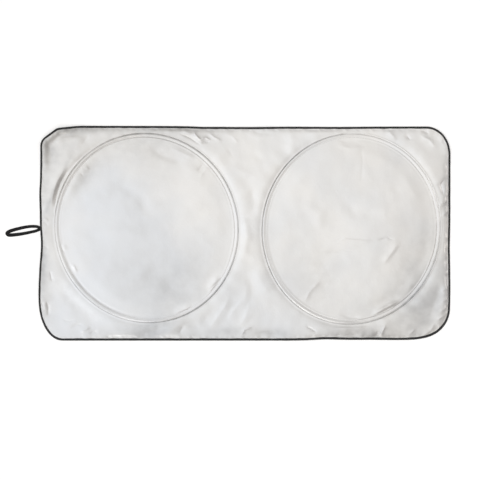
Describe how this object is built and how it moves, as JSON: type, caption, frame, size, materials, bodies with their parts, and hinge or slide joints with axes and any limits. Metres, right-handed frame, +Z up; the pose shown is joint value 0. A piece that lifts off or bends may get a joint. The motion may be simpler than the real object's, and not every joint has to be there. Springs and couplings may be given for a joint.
{
  "type": "windscreen sunshade",
  "caption": "Silver cloth windscreen shade opened out flat, held open by sprung wire hoops in sewn casings, with a black bound edge and an elastic closing loop.",
  "frame": {"origin": "middle of the shade's outline, on the underside of the cloth, where it lies on the surface below", "axes": "+X along the shade's length, to the right in the picture; +Y towards the top of the windscreen; +Z up, out of the silver face"},
  "size_m": [1.6216, 0.783, 0.0145],
  "materials": {
    "silver_cloth": "satin silver coating on thin woven cloth",
    "black_tape": "matt woven binding tape",
    "grey_lining": "matt woven cloth strip",
    "spring_steel": "plain drawn spring wire",
    "tinned_steel": "bright tinned tube",
    "black_elastic": "flat braided elastic"
  },
  "bodies": {
    "root": {"cloth_panel": "silver_cloth", "edge_binding": "black_tape", "left_casing": "grey_lining", "right_casing": "grey_lining", "left_hoop": "spring_steel", "right_hoop": "spring_steel", "left_hoop_sleeve": "tinned_steel", "right_hoop_sleeve": "tinned_steel", "elastic_loop": "black_elastic"}
  },
  "joints": []
}
